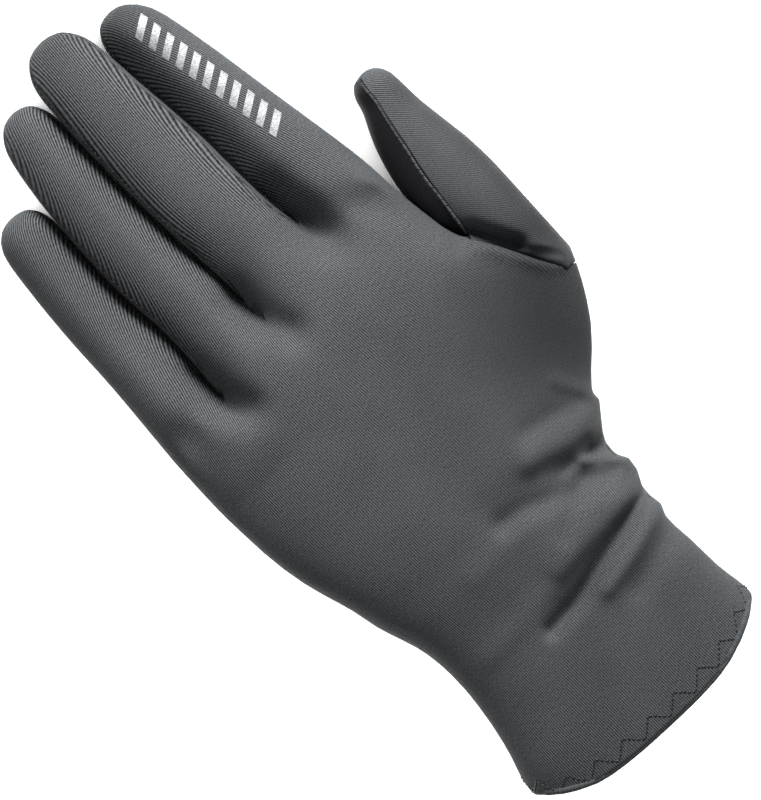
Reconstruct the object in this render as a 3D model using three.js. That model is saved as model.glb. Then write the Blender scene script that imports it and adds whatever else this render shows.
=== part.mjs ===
// Glove liner: a left glove of fine ribbed stretch knit, lying palm down with its back up.
// Millimetres. +Z is up out of the back of the hand, +Y runs along the middle finger and
// +X points to the thumb. The knit is one skin, cut into panels that meet at their seams:
// a back, a palm, a fourchette down the sides of each two neighbouring fingers, and the two
// halves of a thumb that is set into the side of the hand.
import * as THREE from 'three';

// Lengths along the hand, from the edge of the cuff, and of the fingers from the knuckle line.
// The thumb's root lies at a share of the hand's length, and keeps to it.
const handLength = 150;
const thumbRootShare = 0.8;
const thumbRootLength = thumbRootShare * handLength;
const littleLength = 66.4;
const ringLength = 86.9;
const middleLength = 96;
const indexLength = 89.7;
const thumbLength = 52.3;
const hemDepth = 12;

// Widths across, each finger at its root
const cuffWidth = 79;
const littleWidth = 20.8;
const ringWidth = 22.6;
const middleWidth = 26.2;
const indexWidth = 23;
const thumbWidth = 23.4;

// Heights above the surface that the glove lies on
const cuffThickness = 30;
const handThickness = 29;
const fingerThickness = 18;
const thumbThickness = 20;

// The knit and its seams
const knitWall = 1.2;
const hemWall = 1;
const seamGap = 0.3;
const fingerClearance = 0.7;

// Roundness of the sections: 2 is an ellipse, more is boxier
const handRoundness = 2.5;
const fingerRoundness = 2.3;
const tipRoundness = 2.3;

// Finish of the two fabrics
const ribbedKnit = { color: 0x4a4d50, roughness: 0.9, metalness: 0 };
const smoothKnit = { color: 0x1b1b20, roughness: 0.85, metalness: 0 };

const fingers = [
  { name: 'little', width: littleWidth, length: littleLength },
  { name: 'ring', width: ringWidth, length: ringLength },
  { name: 'middle', width: middleWidth, length: middleLength },
  { name: 'index', width: indexWidth, length: indexLength },
];
const upperStrips = fingers.length;
const lowerStrips = upperStrips + 1;
const thumbStartShare = upperStrips / lowerStrips;
const palmWidth = fingers.reduce((sum, finger) => sum + finger.width, 0);

// A table of sections: a value between two rows follows a smooth curve through the rows
function table(names, rows) {
  const columns = names.split(' ');
  return (name, place) => {
    const column = columns.indexOf(name);
    const at = Math.min(Math.max(place, rows[0][0]), rows[rows.length - 1][0]);
    const i = Math.min(rows.findLastIndex((row) => row[0] <= at), rows.length - 2);
    const slope = (j) => {
      const before = rows[Math.max(j - 1, 0)];
      const after = rows[Math.min(j + 1, rows.length - 1)];
      return (after[column] - before[column]) / (after[0] - before[0]);
    };
    const span = rows[i + 1][0] - rows[i][0];
    const t = (at - rows[i][0]) / span;
    const change = rows[i + 1][column] - rows[i][column];
    const lean = t * (1 - t) * span;
    return rows[i][column] + change * t * t * (3 - 2 * t)
      + lean * ((1 - t) * slope(i) - t * slope(i + 1));
  };
}

// Hand, by height from the cuff in shares of handLength. The ulnar and index edges are in
// shares of the width there, the thumb's strip in shares of its own, and the top, underside
// and fall towards the thumb in shares of the thickness there.
const handRows = table('height ulnar indexEdge thumbStrip top under thumbFall', [
  [0.00, -0.418, 0.380, 1.015, 0.97, -0.03, 0.02],
  [0.08, -0.412, 0.376, 0.948, 0.98, -0.03, 0.02],
  [0.14, -0.378, 0.362, 0.865, 0.97, -0.02, 0.03],
  [0.20, -0.353, 0.354, 0.820, 0.96, -0.02, 0.04],
  [0.27, -0.336, 0.344, 0.760, 0.95, -0.02, 0.05],
  [0.30, -0.335, 0.343, 0.825, 0.95, -0.02, 0.05],
  [0.33, -0.335, 0.342, 0.740, 0.95, -0.02, 0.06],
  [0.38, -0.347, 0.357, 0.805, 0.97, -0.03, 0.07],
  [0.42, -0.369, 0.366, 0.615, 0.98, -0.03, 0.08],
  [0.46, -0.393, 0.378, 0.645, 0.98, -0.03, 0.09],
  [0.50, -0.408, 0.394, 0.777, 1.00, -0.03, 0.10],
  [0.52, -0.415, 0.404, 0.720, 1.00, -0.03, 0.12],
  [0.60, -0.455, 0.454, 0.965, 1.01, -0.03, 0.18],
  [0.67, -0.475, 0.498, 1.025, 1.02, -0.03, 0.24],
  [0.73, -0.481, 0.531, 1.005, 1.02, -0.03, 0.28],
  [0.80, -0.484, 0.567, 0.870, 1.01, -0.03, 0.30],
  [0.87, -0.486, 0.572, 0.870, 1.00, -0.02, 0.30],
  [0.90, -0.486, 0.549, 0.870, 0.99, -0.01, 0.30],
  [0.95, -0.485, 0.533, 0.870, 0.96, 0.01, 0.30],
  [1.00, -0.481, 0.519, 0.870, 0.91, 0.05, 0.30],
  [1.09, -0.476, 0.510, 0.870, 0.84, 0.09, 0.30],
]);

// Fingers, by height above the knuckle line in shares of middleLength: the ulnar edge in
// shares of palmWidth, then each finger in shares of its own width. They lie side by side.
const fingerRows = table('height ulnar little ring middle index', [
  [0.00, -0.481, 1.000, 1.000, 1.000, 1.000],
  [0.17, -0.475, 0.990, 0.910, 0.925, 1.085],
  [0.32, -0.476, 0.895, 0.935, 0.912, 1.043],
  [0.49, -0.469, 0.856, 0.885, 0.931, 0.935],
  [0.66, -0.454, 0.803, 0.841, 0.889, 0.874],
  [0.81, -0.436, 0.800, 0.757, 0.828, 0.813],
  [1.00, -0.410, 0.793, 0.673, 0.760, 0.648],
]);

// Each finger along its length: thickness in shares of fingerThickness and height of its
// underside in shares of handThickness
const fingerProfile = table('along thickness under', [
  [0.00, 1.22, 0.12],
  [0.15, 1.12, 0.13],
  [0.35, 1.03, 0.09],
  [0.60, 0.98, 0.03],
  [0.80, 0.95, -0.02],
  [1.00, 0.88, -0.02],
]);

// Thumb along its length: inner and outer edge and the seam on its back, in shares of
// thumbWidth from its axis, and its thickness in shares of thumbThickness
const thumbRows = table('along inner outer seam thickness', [
  [0.00, -0.290, 0.500, -0.270, 0.98],
  [0.11, -0.350, 0.500, -0.262, 1.00],
  [0.29, -0.438, 0.496, -0.230, 1.00],
  [0.47, -0.495, 0.466, -0.197, 0.99],
  [0.65, -0.474, 0.406, -0.140, 0.97],
  [0.83, -0.392, 0.346, -0.090, 0.94],
  [1.00, -0.240, 0.325, -0.034, 0.88],
]);

// Row lines that bend across the hand, by place across from the ulnar to the radial side:
// the knuckle line dips into each crotch, and the thumb's root slants down to the outer edge
const knuckleLine = table('across height', [
  [0.000, 0.927],
  [0.125, 0.962],
  [0.250, 0.953],
  [0.375, 1.010],
  [0.500, 1.050],
  [0.625, 1.092],
  [0.750, 1.087],
  [0.875, 1.068],
  [1.000, 0.990],
]);
const thumbRootLine = table('across height', [
  [0.00, 0.985],
  [0.40, 1.005],
  [0.60, 1.035],
  [0.80, 1.083],
  [0.85, 1.033],
  [0.90, 0.980],
  [0.95, 0.930],
  [1.00, 0.888],
]);

// Folds of the wrist: a line across the back, places across in shares of cuffWidth and along
// in shares of handLength, with half its breadth and its rise in shares of handThickness. A rise
// below nought is a dent.
const wristFolds = [
  { from: [0.32, 0.21], to: [0.54, 0.25], breadth: 0.120, rise: -0.035 },
  { from: [0.24, 0.25], to: [0.54, 0.29], breadth: 0.097, rise: 0.042 },
  { from: [0.06, 0.27], to: [0.56, 0.33], breadth: 0.090, rise: -0.076 },
  { from: [0.19, 0.36], to: [0.56, 0.38], breadth: 0.138, rise: 0.059 },
  { from: [0.08, 0.49], to: [0.35, 0.47], breadth: 0.120, rise: -0.048 },
  { from: [0.38, 0.46], to: [0.58, 0.41], breadth: 0.117, rise: -0.083 },
  { from: [0.34, 0.52], to: [0.60, 0.49], breadth: 0.124, rise: 0.066 },
  { from: [0.50, 0.57], to: [0.60, 0.51], breadth: 0.090, rise: 0.031 },
  { from: [0.40, 0.68], to: [0.55, 0.76], breadth: 0.310, rise: -0.035 },
];

// Places of the rows of the net, as shares of the stretch that each list runs over
const wristRowPlaces = [
  0.14, 0.19, 0.24, 0.28, 0.31, 0.345, 0.38, 0.415, 0.45, 0.485, 0.52, 0.55,
  0.585, 0.62, 0.655, 0.70, 0.75, 0.81, 0.87, 0.93, 0.985, 1,
];
const knuckleRowPlaces = [0, 0.2, 0.4, 0.6, 0.8, 1];
const fingerRowPlaces = [0, 0.09, 0.2, 0.32, 0.44, 0.56, 0.68, 0.79, 0.9, 1];
const thumbRowPlaces = [0, 0.06, 0.17, 0.29, 0.41, 0.53, 0.65, 0.77, 0.89, 1];
const tipRings = [0.38, 0.68, 0.88];
const tipShare = 0.46;
const thumbTipShare = 0.34;
const hemRows = 3;
const stripColumns = 4;
const sideColumns = 4;
const halfSide = sideColumns / 2;

// Valleys that run from the crotches into the back and the palm, and the crease where the
// thumb is set in: depths and reach in shares of handThickness, and how deep each column is
const valleyShareOfBack = 0.3;
const valleyShareOfPalm = 0.22;
const valleyReachShare = 0.5;
const valleyShares = [1, 0.3, 0, 0.3];
const creaseShareOfBack = 0.17;
const creaseShareOfPalm = 0.13;
const creaseShares = [1, 1.05, 0.9, 0.5, 0];

// The cuff's bowed edge: how far it rises to the sides, in millimetres, and its curve, and how
// much more on the thumb's side than in the middle
const bowedEdge = 7.6;
const bowedShape = 2.6;
const edgeTilt = 0.5;
const sideRise = 3.2;
const edgeDip = 1;

// Where things lie across a section, from the middle to the silhouette, and along the hand
const palmFullShare = 0.8;
const fallStartShare = 0.1;
const foldFullShare = 0.7;
const edgeInsetShare = 0.035;
const fingerBackSeamShare = 0.92;
const fingerPalmSeamShare = 0.8;
const thumbOuterSeamShare = 0.85;
const thumbPalmSeamShare = 0.75;
const thumbLiftShare = 0.48;

const mix = (a, b, t) => a + (b - a) * t;
const clamp = (t) => Math.min(Math.max(t, 0), 1);
const smooth = (t) => clamp(t) * clamp(t) * (3 - 2 * clamp(t));
const rounded = (across, shape) => (1 - Math.min(Math.abs(across), 1) ** shape) ** (1 / shape);

// Silhouette and finger boundaries at a height: five of them, from the ulnar to the index edge
function stripEdges(y) {
  const height = y / handLength;
  if (height <= 1) {
    const width = mix(cuffWidth, palmWidth, clamp(height / palmFullShare));
    const ulnar = handRows('ulnar', height) * width;
    const indexEdge = handRows('indexEdge', height) * width;
    let share = 0;
    const inner = fingers.map((finger) => {
      share += finger.width / palmWidth;
      return mix(ulnar, indexEdge, share);
    });
    return [ulnar, ...inner];
  }
  const above = (y - handLength) / middleLength;
  let edge = fingerRows('ulnar', above) * palmWidth;
  const edges = [edge];
  for (const finger of fingers) {
    edge += fingerRows(finger.name, above) * finger.width;
    edges.push(edge);
  }
  return edges;
}

function outerEdge(y) {
  const spread = clamp(y / handLength / palmFullShare);
  const strip = mix(cuffWidth / lowerStrips, thumbWidth, spread);
  return stripEdges(y)[upperStrips] + handRows('thumbStrip', y / handLength) * strip;
}

// Rise of the back over the wrist's folds
function foldRise(x, y) {
  let rise = 0;
  for (const fold of wristFolds) {
    const from = new THREE.Vector2(fold.from[0] * cuffWidth, fold.from[1] * handLength);
    const run = new THREE.Vector2(fold.to[0] * cuffWidth, fold.to[1] * handLength).sub(from);
    const place = new THREE.Vector2(x, y).sub(from);
    const along = clamp(place.dot(run) / run.lengthSq());
    const away = place.addScaledVector(run, -along).length() / (fold.breadth * handThickness);
    rise += fold.rise * Math.exp(-away * away);
  }
  return rise * handThickness;
}

// A place on the hand: column 0 to the last across one face, or down a side, and its height.
// There is a strip for each finger, and below the thumb's crotch one more for the thumb.
function handPoint(strips, face, column, y) {
  const edges = stripEdges(y);
  if (strips === lowerStrips) edges.push(outerEdge(y));
  const left = edges[0];
  const right = edges[strips];
  const middle = (left + right) / 2;
  const half = (right - left) / 2;
  const inset = edgeInsetShare * palmWidth;
  const height = y / handLength;
  const thickness = mix(cuffThickness, handThickness, clamp(height / palmFullShare));
  const top = handRows('top', height) * thickness;
  const under = handRows('under', height) * thickness;
  const centre = (top + under) / 2;
  const rise = (top - under) / 2;
  const seamAcross = 1 - inset / half;
  let across;
  let up;
  if (face === 'back' || face === 'palm') {
    const strip = Math.min(Math.floor(column / stripColumns), strips - 1);
    const from = strip === 0 ? left + inset : edges[strip];
    const to = strip === strips - 1 ? right - inset : edges[strip + 1];
    const x = mix(from, to, column / stripColumns - strip);
    across = (x - middle) / half;
    up = rounded(across, handRoundness) * (face === 'back' ? 1 : -1);
  } else {
    const seamUp = rounded(seamAcross, handRoundness);
    up = mix(seamUp, -seamUp, column / sideColumns);
    across = rounded(up, handRoundness) * (face === 'ulnar' ? -1 : 1);
  }
  const x = middle + across * half;
  const thumbward = strips === lowerStrips ? smooth((across - fallStartShare) / (1 - fallStartShare)) : 0;
  const fall = handRows('thumbFall', height) * thickness * thumbward;
  const backShare = (1 + up) / 2;
  const folds = foldRise(x, y) * smooth(backShare / foldFullShare);
  return new THREE.Vector3(x, y, centre + up * rise - fall * backShare + folds);
}

// Height of the net's rows at a place across, from the cuff to the thumb's root row. The
// cuff's edge is lowest in the middle of the back and the palm, and highest down the sides.
function lowerRow(across, place, sideShare = 0) {
  const aside = 2 * across - 1;
  const bow = bowedEdge * Math.abs(aside) ** bowedShape + edgeTilt * aside - edgeDip;
  const edge = bow + sideRise * sideShare;
  const straight = thumbRootLength * place;
  const bend = (thumbRootLine('height', across) - 1) * thumbRootLength * place ** 3;
  return edge * (1 - place) + straight + bend;
}

const lowerPlaces = [
  ...Array.from({ length: hemRows + 1 }, (_, i) => (hemDepth * i) / hemRows / thumbRootLength),
  ...wristRowPlaces,
];
const lastLower = lowerPlaces.length - 1;
const lastUpper = knuckleRowPlaces.length - 1;

// How deep a valley is at a column: full on a boundary between two strips, less beside it
function valleyShare(column, columns) {
  const inStrip = column % stripColumns;
  if (column === 0 || column === columns) return 0;
  return valleyShares[inStrip];
}

function lowerPoint(face, column, row) {
  const across = { ulnar: 0, radial: 1 }[face] ?? column / (lowerStrips * stripColumns);
  const place = lowerPlaces[row];
  const sideShare = face === 'ulnar' || face === 'radial' ? Math.sin((Math.PI * column) / sideColumns) : 0;
  const point = handPoint(lowerStrips, face, column, lowerRow(across, place, sideShare));
  const thumbColumn = column - upperStrips * stripColumns;
  if (row === lastLower && thumbColumn >= 0 && (face === 'back' || face === 'palm')) {
    const depth = face === 'back' ? creaseShareOfBack : -creaseShareOfPalm;
    point.z -= depth * handThickness * creaseShares[thumbColumn];
  }
  return point;
}

function upperPoint(face, column, row) {
  const columns = upperStrips * stripColumns;
  const across = { ulnar: 0, radial: 1 }[face] ?? column / columns;
  if (row === 0) {
    if (face === 'radial') return thumbWeb(column);
    return lowerPoint(face, column, lastLower);
  }
  const from = lowerRow(across * thumbStartShare, 1);
  const to = knuckleLine('height', across) * handLength;
  const y = mix(from, to, knuckleRowPlaces[row]);
  const point = handPoint(upperStrips, face, column, y);
  if (face === 'back' || face === 'palm') {
    const near = smooth(1 - (to - y) / (valleyReachShare * handThickness));
    const depth = face === 'back' ? valleyShareOfBack : -valleyShareOfPalm;
    point.z -= depth * handThickness * near * valleyShare(column, columns);
  }
  return point;
}

// The web of a crotch, from the point on the back to the one on the palm
function web(back, palm, column) {
  return back.clone().lerp(palm, column / sideColumns);
}

function thumbWeb(column) {
  const at = upperStrips * stripColumns;
  return web(lowerPoint('back', at, lastLower), lowerPoint('palm', at, lastLower), column);
}

function knuckleWeb(boundary, column) {
  const at = boundary * stripColumns;
  return web(upperPoint('back', at, lastUpper), upperPoint('palm', at, lastUpper), column);
}

// A place on a rounded section, by face and column. seams are the places across of the seams
// on the back, and palmSeams those on the palm.
function sectionPlace(face, column, seams, palmSeams) {
  const power = 2 / fingerRoundness;
  const angle = (across, sign) => sign * Math.acos(Math.sign(across) * Math.abs(across) ** (1 / power));
  const corners = {
    back: [angle(seams[0], 1), angle(seams[1], 1), stripColumns],
    radial: [angle(seams[1], 1), angle(palmSeams[1], -1), sideColumns],
    palm: [angle(palmSeams[0], -1), angle(palmSeams[1], -1), stripColumns],
    ulnar: [angle(seams[0], 1), 2 * Math.PI + angle(palmSeams[0], -1), sideColumns],
  }[face];
  const turn = mix(corners[0], corners[1], column / corners[2]);
  return {
    across: Math.sign(Math.cos(turn)) * Math.abs(Math.cos(turn)) ** power,
    up: Math.sign(Math.sin(turn)) * Math.abs(Math.sin(turn)) ** power,
  };
}

// One finger's section at a height: its middle, half width, half thickness and centre height
function fingerSection(index, along, y) {
  const edges = stripEdges(y);
  const left = edges[index] + (index === 0 ? 0 : fingerClearance / 2);
  const right = edges[index + 1] - (index + 1 === upperStrips ? 0 : fingerClearance / 2);
  const thickness = fingerProfile('thickness', along) * fingerThickness;
  const under = fingerProfile('under', along) * handThickness;
  return {
    middle: (left + right) / 2,
    half: (right - left) / 2,
    centre: under + thickness / 2,
    rise: thickness / 2,
  };
}

function placeOn(section, spot, scale, y) {
  const x = section.middle + spot.across * section.half * scale;
  return new THREE.Vector3(x, y, section.centre + spot.up * section.rise * scale);
}

// Rows of a finger: along it, then the rings that close its rounded tip
function fingerPoint(index, face, column, row) {
  const finger = fingers[index];
  if (row === 0) {
    if (face === 'back' || face === 'palm') return upperPoint(face, index * stripColumns + column, lastUpper);
    const boundary = face === 'radial' ? index + 1 : index;
    const outside = boundary === 0 || boundary === upperStrips;
    return outside ? upperPoint(face, column, lastUpper) : knuckleWeb(boundary, column);
  }
  const tip = handLength + finger.length;
  const shoulder = tip - tipShare * finger.width;
  const edgeColumn = { ulnar: 0, radial: stripColumns }[face] ?? column;
  const root = knuckleLine('height', (index + edgeColumn / stripColumns) / upperStrips) * handLength;
  const ring = row - fingerRowPlaces.length;
  const y = ring < 0 ? mix(root, shoulder, fingerRowPlaces[row]) : mix(shoulder, tip, tipRings[ring]);
  const scale = ring < 0 ? 1 : rounded(tipRings[ring], tipRoundness);
  const section = fingerSection(index, clamp((y - handLength) / finger.length), y);
  const seams = [-fingerBackSeamShare, fingerBackSeamShare];
  const palmSeams = [-fingerPalmSeamShare, fingerPalmSeamShare];
  return placeOn(section, sectionPlace(face, column, seams, palmSeams), scale, y);
}

function thumbPoint(face, column, row) {
  if (row === 0) {
    if (face === 'ulnar') return thumbWeb(column);
    return lowerPoint(face, face === 'radial' ? column : upperStrips * stripColumns + column, lastLower);
  }
  const axis = stripEdges(handLength)[upperStrips] + thumbWidth / 2 + fingerClearance;
  const crotch = lowerRow(thumbStartShare, 1);
  const tip = crotch + thumbLength;
  const shoulder = tip - thumbTipShare * thumbWidth;
  const edgeColumn = { ulnar: 0, radial: stripColumns }[face] ?? column;
  const root = lowerRow(mix(thumbStartShare, 1, edgeColumn / stripColumns), 1);
  const ring = row - thumbRowPlaces.length;
  const y = ring < 0 ? mix(root, shoulder, thumbRowPlaces[row]) : mix(shoulder, tip, tipRings[ring]);
  const scale = ring < 0 ? 1 : rounded(tipRings[ring], tipRoundness);
  const along = clamp((y - crotch) / (shoulder - crotch));
  const inner = thumbRows('inner', along) * thumbWidth;
  const outer = thumbRows('outer', along) * thumbWidth;
  const middle = (inner + outer) / 2;
  const half = (outer - inner) / 2;
  const seam = (thumbRows('seam', along) * thumbWidth - middle) / half;
  const thickness = thumbRows('thickness', along) * thumbThickness;
  const section = { middle: axis + middle, half, centre: thickness * thumbLiftShare, rise: thickness / 2 };
  const palmSeams = [-thumbPalmSeamShare, thumbPalmSeamShare];
  return placeOn(section, sectionPlace(face, column, [seam, thumbOuterSeamShare], palmSeams), scale, y);
}

// The net of the outer skin: quads between its points, each with the panel that it belongs to
const points = [];
const pointOf = new Map();
const quads = [];

function pointIndex(place) {
  const point = place.clone();
  point.z = Math.max(point.z, 0);
  const key = [point.x, point.y, point.z].map((value) => value.toFixed(3)).join(' ');
  if (!pointOf.has(key)) {
    pointOf.set(key, points.length);
    points.push(point);
  }
  return pointOf.get(key);
}

// One face or side of a tube: its rows by its columns. turned sides run the other way round.
function addPatch(at, face, columns, firstRow, lastRow, panelOf) {
  const turned = face === 'palm' || face === 'ulnar';
  for (let row = firstRow; row < lastRow; row += 1) {
    for (let column = 0; column < columns; column += 1) {
      const corners = [
        at(face, column, row),
        at(face, column + 1, row),
        at(face, column + 1, row + 1),
        at(face, column, row + 1),
      ].map(pointIndex);
      if (turned) corners.reverse();
      quads.push({ corners, panel: panelOf(column), row });
    }
  }
}

// The panels of a tube. Where no fourchette runs, the back and the palm meet down the side.
function addTube(at, columns, rows, panels) {
  const side = (column) => (column < halfSide ? panels.back : panels.palm);
  addPatch(at, 'back', columns, 0, rows, () => panels.back);
  addPatch(at, 'radial', sideColumns, 0, rows, panels.radial ? () => panels.radial : side);
  addPatch(at, 'palm', columns, 0, rows, () => panels.palm);
  addPatch(at, 'ulnar', sideColumns, 0, rows, panels.ulnar ? () => panels.ulnar : side);
}

// The end of a finger: a small domed grid that fills its last ring
function addTip(at, row, tipY, panels) {
  const last = stripColumns;
  const grid = [];
  for (let j = 0; j <= sideColumns; j += 1) {
    const left = at('ulnar', j, row);
    const right = at('radial', j, row);
    for (let i = 0; i <= last; i += 1) {
      const top = at('back', i, row);
      const bottom = at('palm', i, row);
      if (i === 0) grid.push(left);
      else if (i === last) grid.push(right);
      else if (j === 0) grid.push(top);
      else if (j === sideColumns) grid.push(bottom);
      else {
        const x = mix(mix(top.x, bottom.x, j / sideColumns), mix(left.x, right.x, i / last), 0.5);
        const z = mix(mix(top.z, bottom.z, j / sideColumns), mix(left.z, right.z, i / last), 0.5);
        const edge = Math.max(Math.abs(2 * i / last - 1), Math.abs(2 * j / sideColumns - 1));
        grid.push(new THREE.Vector3(x, mix(tipY, top.y, edge * edge), z));
      }
    }
  }
  const width = last + 1;
  for (let j = 0; j < sideColumns; j += 1) {
    for (let i = 0; i < last; i += 1) {
      const a = j * width + i;
      const corners = [a, a + 1, a + width + 1, a + width].map((k) => pointIndex(grid[k]));
      quads.push({ corners, panel: j < halfSide ? panels.back : panels.palm, row: -1 });
    }
  }
}

const handPanels = { back: 'hand_back_panel', palm: 'hand_palm_panel' };
const thumbPanels = { back: 'thumb_back_panel', palm: 'thumb_inner_panel' };
const fourchetteNames = [0, 1, 2].map((i) => `fourchette_${fingers[i].name}_${fingers[i + 1].name}`);
addTube(lowerPoint, lowerStrips * stripColumns, lastLower, handPanels);
addTube(upperPoint, upperStrips * stripColumns, lastUpper, handPanels);
const tipRow = fingerRowPlaces.length + tipRings.length - 1;
fingers.forEach((finger, index) => {
  const at = (face, column, row) => fingerPoint(index, face, column, row);
  const panels = { ...handPanels, ulnar: fourchetteNames[index - 1], radial: fourchetteNames[index] };
  addTube(at, stripColumns, tipRow, panels);
  addTip(at, tipRow, handLength + finger.length, handPanels);
});
const thumbTipRow = thumbRowPlaces.length + tipRings.length - 1;
addTube(thumbPoint, stripColumns, thumbTipRow, { ...thumbPanels, ulnar: thumbPanels.palm });
addTip(thumbPoint, thumbTipRow, lowerRow(thumbStartShare, 1) + thumbLength, thumbPanels);

// Direction out of the skin at each point, lengthened where its faces meet at an angle so that
// a wall of even thickness can be set out from it
function quadNormal(corners) {
  const [a, b, c, d] = corners.map((k) => points[k]);
  return c.clone().sub(a).cross(d.clone().sub(b)).normalize();
}

const thinnest = 0.7;
const outward = points.map(() => new THREE.Vector3());
for (const quad of quads) {
  quad.normal = quadNormal(quad.corners);
  for (const k of quad.corners) outward[k].add(quad.normal);
}
outward.forEach((direction) => direction.normalize());
const leastFacing = points.map(() => 1);
for (const quad of quads) {
  for (const k of quad.corners) leastFacing[k] = Math.min(leastFacing[k], outward[k].dot(quad.normal));
}
outward.forEach((direction, k) => direction.divideScalar(Math.max(leastFacing[k], thinnest)));

// A panel's edge is pulled back from its seam by half the gap. At a pointed end of a panel,
// where its two edges face each other, it is pulled back along them instead.
const pointed = 0.5;

function pulledIn(panelQuads) {
  const edges = new Map();
  for (const quad of panelQuads) {
    quad.corners.forEach((from, i) => {
      const to = quad.corners[(i + 1) % 4];
      edges.set(`${from} ${to}`, { from, to, normal: quad.normal });
    });
  }
  const border = [...edges.values()].filter((edge) => !edges.has(`${edge.to} ${edge.from}`));
  const inward = new Map();
  for (const edge of border) {
    const run = points[edge.to].clone().sub(points[edge.from]).normalize();
    for (const k of [edge.from, edge.to]) {
      if (!inward.has(k)) inward.set(k, []);
      const across = outward[k].clone().normalize().add(edge.normal).cross(run).normalize();
      inward.get(k).push({ across, away: k === edge.from ? run : run.clone().negate() });
    }
  }
  const shift = new Map();
  for (const [k, sides] of inward) {
    const sum = new THREE.Vector3();
    for (const side of sides) sum.add(side.across);
    if (sum.length() < pointed) for (const side of sides) sum.addScaledVector(side.away, -pointed);
    const facing = Math.max(sum.clone().normalize().dot(sides[0].across), pointed);
    shift.set(k, sum.setLength(seamGap / 2 / facing));
  }
  return { border, shift };
}

// A closed wall over some quads of the net, from one depth below the skin to a greater one.
// Where it ends at a seam, its edge is split along the same diagonals as its neighbour's.
function wallGeometry(panelQuads, outerDepth, innerDepth) {
  const { border, shift } = pulledIn(panelQuads);
  const used = [...new Set(panelQuads.flatMap((quad) => quad.corners))];
  const place = new Map(used.map((k, i) => [k, i]));
  const positions = [];
  for (const depth of [outerDepth, innerDepth]) {
    for (const k of used) {
      const point = points[k].clone().addScaledVector(outward[k], -depth);
      if (shift.has(k)) point.add(shift.get(k));
      positions.push(...point.toArray());
    }
  }
  const inner = used.length;
  const triangles = [];
  const addQuad = (a, b, c, d) => triangles.push(a, b, c, a, c, d);
  for (const { corners } of panelQuads) {
    const [a, b, c, d] = corners.map((k) => place.get(k));
    addQuad(a, b, c, d);
    addQuad(inner + d, inner + c, inner + b, inner + a);
  }
  for (const { from, to } of border) {
    const a = place.get(from);
    const b = place.get(to);
    if (from < to) addQuad(b, a, inner + a, inner + b);
    else addQuad(a, inner + a, inner + b, b);
  }
  const geometry = new THREE.BufferGeometry();
  geometry.setAttribute('position', new THREE.Float32BufferAttribute(positions, 3));
  geometry.setIndex(triangles);
  return geometry;
}

const glove = new THREE.Group();

function addPiece(name, geometry, finish) {
  const piece = new THREE.Mesh(geometry, new THREE.MeshStandardMaterial(finish));
  piece.name = name;
  glove.add(piece);
}

// Panels of the skin
function addPanel(name, finish) {
  addPiece(name, wallGeometry(quads.filter((quad) => quad.panel === name), 0, knitWall), finish);
}

addPanel(handPanels.back, ribbedKnit);
addPanel(handPanels.palm, smoothKnit);
for (const name of fourchetteNames) addPanel(name, ribbedKnit);
addPanel(thumbPanels.back, ribbedKnit);
addPanel(thumbPanels.palm, smoothKnit);

// Hem: the edge of the cuff turned in, a band that lies against the inside of the wall
const cuffQuads = quads.slice(0, 2 * (lowerStrips * stripColumns + sideColumns) * lastLower);
const hemQuads = cuffQuads.filter((quad) => quad.row < hemRows);
const hemTop = knitWall + seamGap;
addPiece('cuff_hem', wallGeometry(hemQuads, hemTop, hemTop + hemWall), ribbedKnit);

// The glove stands with the middle of its footprint at the origin
const footprint = new THREE.Box3().setFromObject(glove).getCenter(new THREE.Vector3());
glove.position.set(-footprint.x, -footprint.y, 0);
glove.updateMatrixWorld(true);

export default glove;
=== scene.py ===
import math

import bpy
import numpy as np
from mathutils import Matrix, Vector
from mathutils.bvhtree import BVHTree


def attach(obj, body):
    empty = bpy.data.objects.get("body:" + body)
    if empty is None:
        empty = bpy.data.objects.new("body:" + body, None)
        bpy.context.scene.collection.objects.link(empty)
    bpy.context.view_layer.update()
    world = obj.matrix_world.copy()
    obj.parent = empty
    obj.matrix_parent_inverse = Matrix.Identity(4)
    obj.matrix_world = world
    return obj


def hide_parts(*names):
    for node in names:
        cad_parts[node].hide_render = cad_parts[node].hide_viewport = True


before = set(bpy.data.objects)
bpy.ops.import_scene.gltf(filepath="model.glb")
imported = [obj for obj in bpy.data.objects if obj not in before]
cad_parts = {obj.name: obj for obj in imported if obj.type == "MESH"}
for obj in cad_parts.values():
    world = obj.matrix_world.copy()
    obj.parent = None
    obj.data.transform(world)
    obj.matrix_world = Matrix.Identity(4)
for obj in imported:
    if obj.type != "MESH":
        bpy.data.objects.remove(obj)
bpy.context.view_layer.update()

MM = 0.001

# Camera. It looks straight down on the glove through a long lens, turned so that the fingers
# point to the upper left and the cuff to the lower right.
CAMERA_HEIGHT = 2500
CAMERA_ASIDE = (-6.6, -8.4)
SHOWN_HEIGHT = 213.4
SILHOUETTE_HEIGHT = 12
CAMERA_TURN = -42.08
SENSOR = 36
camera_data = bpy.data.cameras.new("camera")
camera_data.sensor_fit = "VERTICAL"
camera_data.sensor_height = SENSOR
camera_data.lens = SENSOR * (CAMERA_HEIGHT - SILHOUETTE_HEIGHT) / SHOWN_HEIGHT
camera_data.clip_end = 20
camera = bpy.data.objects.new("camera", camera_data)
camera.location = (CAMERA_ASIDE[0] * MM, CAMERA_ASIDE[1] * MM, CAMERA_HEIGHT * MM)
camera.rotation_euler = (0, 0, math.radians(CAMERA_TURN))
bpy.context.collection.objects.link(camera)
bpy.context.scene.camera = camera

# Palm panel. The palm, the underside of the fingers and half of every side without a
# fourchette are cut in one from a smooth, dense elastane knit, near black. The panel takes the
# shape of a hand that lies relaxed: fingers on each other, folds gathered at the wrist.

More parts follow.
